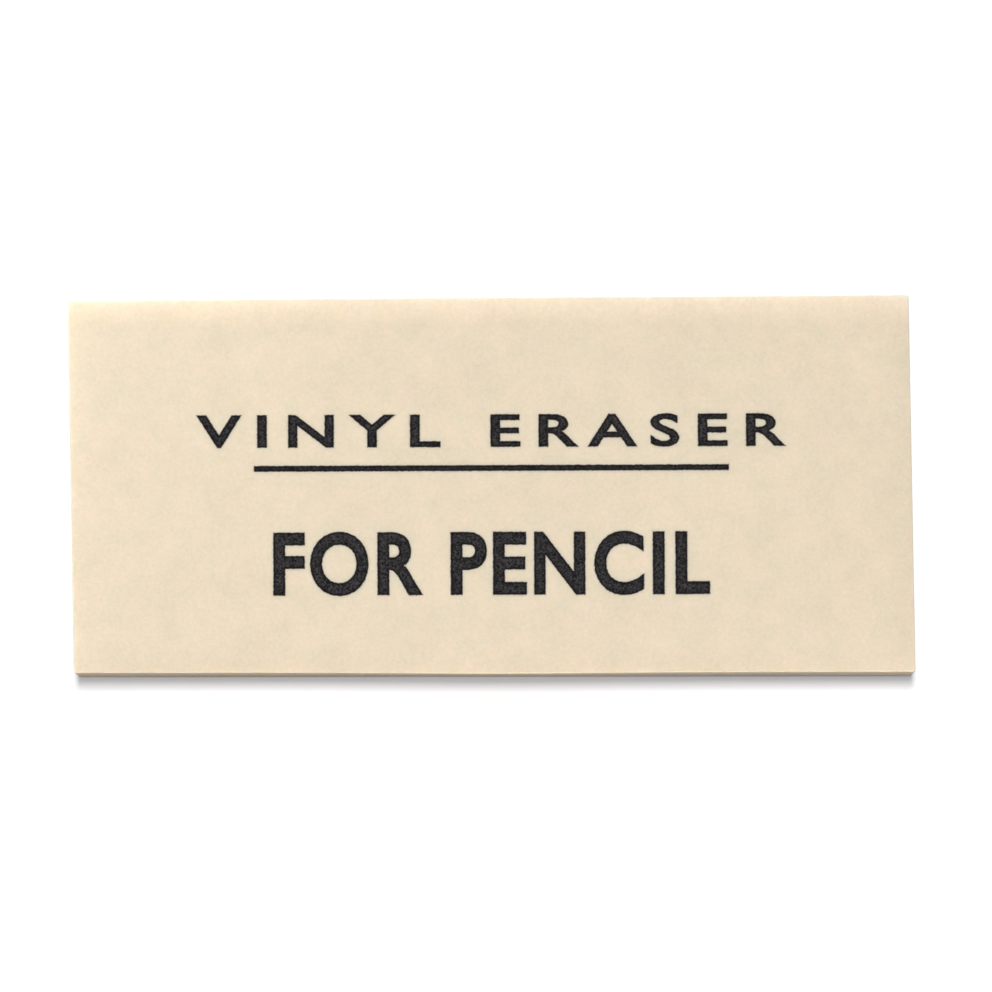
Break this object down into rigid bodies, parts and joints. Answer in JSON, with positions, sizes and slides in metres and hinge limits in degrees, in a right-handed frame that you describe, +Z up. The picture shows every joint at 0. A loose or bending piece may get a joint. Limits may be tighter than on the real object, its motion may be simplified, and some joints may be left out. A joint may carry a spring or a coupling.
{
  "type": "vinyl eraser",
  "caption": "Flat rectangular block of soft cream vinyl for rubbing out pencil, with softened edges and black print on its upper face.",
  "frame": {"origin": "centre of the underside, which rests on the desk", "axes": "+X along the block, to the right of a reader of the print, +Y across it, away from that reader, +Z up through the printed face"},
  "size_m": [0.0574, 0.0256, 0.011],
  "materials": {
    "vinyl": "matt cream vinyl with a fine grain",
    "ink": "matt black printing ink, slightly mottled"
  },
  "bodies": {
    "root": {"eraser_block": "vinyl", "printed_marks": "ink"}
  },
  "joints": []
}
